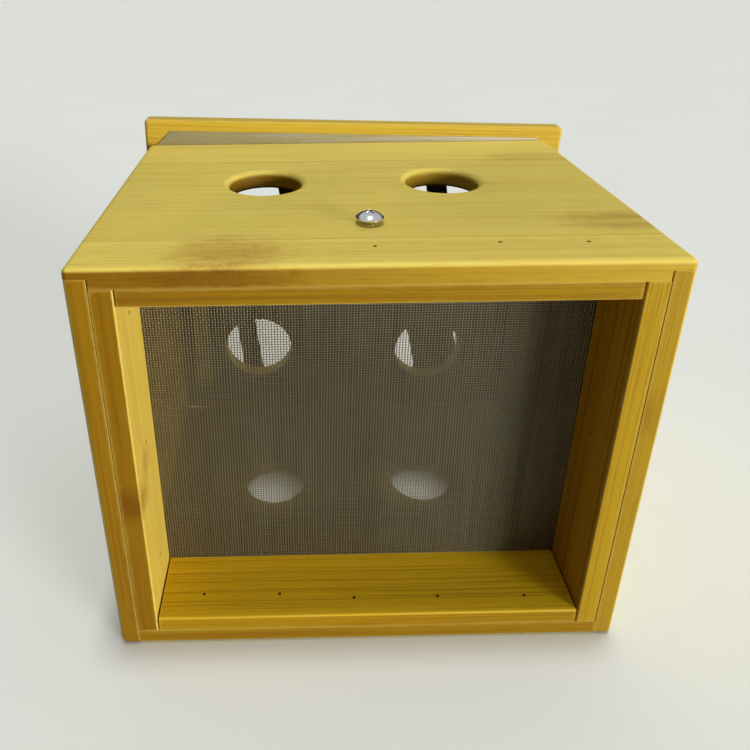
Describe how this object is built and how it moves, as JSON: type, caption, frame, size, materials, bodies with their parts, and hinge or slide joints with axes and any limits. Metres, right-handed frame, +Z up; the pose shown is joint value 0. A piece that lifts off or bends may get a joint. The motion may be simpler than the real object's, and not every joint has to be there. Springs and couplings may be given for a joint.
{
  "type": "moxibustion box",
  "caption": "Bamboo box that holds burning moxa sticks over the skin, with wire cloth in its open mouth, side vents, a lift-off lid with stick holes and black elastic strips",
  "frame": {"origin": "middle of the overall size at the height of the surface that the box lies on", "axes": "+X along the long walls, +Y from the open mouth to the lid, +Z up through the lower and upper long walls"},
  "size_m": [0.1734, 0.1278, 0.1449],
  "materials": {
    "bamboo_wall": "sanded bamboo with long fine grain, lightly oiled",
    "bamboo_ledge": "amber bamboo strips, satin",
    "bamboo_lid": "sanded bamboo board, satin",
    "wire_cloth": "plain woven stainless wire",
    "sheet_steel": "thin bright sheet",
    "chrome_screw": "bright plated",
    "zinc_fastener": "zinc plated",
    "nail_steel": "darkened brad wire",
    "tack_steel": "nickel plated",
    "black_elastic": "woven elastic webbing"
  },
  "bodies": {
    "box": {"wall_upper": "bamboo_wall", "wall_lower": "bamboo_wall", "wall_left": "bamboo_wall", "wall_right": "bamboo_wall", "ledge_upper": "bamboo_ledge", "ledge_lower": "bamboo_ledge", "ledge_left": "bamboo_ledge", "ledge_right": "bamboo_ledge", "mesh_screen": "wire_cloth", "mesh_staples": "zinc_fastener", "ledge_brads": "nail_steel", "strap_screw": "chrome_screw"},
    "lid": {"lid_board": "bamboo_lid", "heat_shield": "sheet_steel", "cleat_left": "bamboo_lid", "cleat_right": "bamboo_lid", "cleat_screws": "zinc_fastener", "shield_pins": "nail_steel", "band_tacks": "tack_steel", "band_upper_left": "black_elastic", "band_upper_right": "black_elastic", "band_lower_left": "black_elastic", "band_lower_right": "black_elastic"}
  },
  "joints": [
    {"name": "lid_lift", "type": "slide", "parent": "box", "child": "lid", "axis": [0, 1, 0], "range_m": [0, 0.05]}
  ]
}
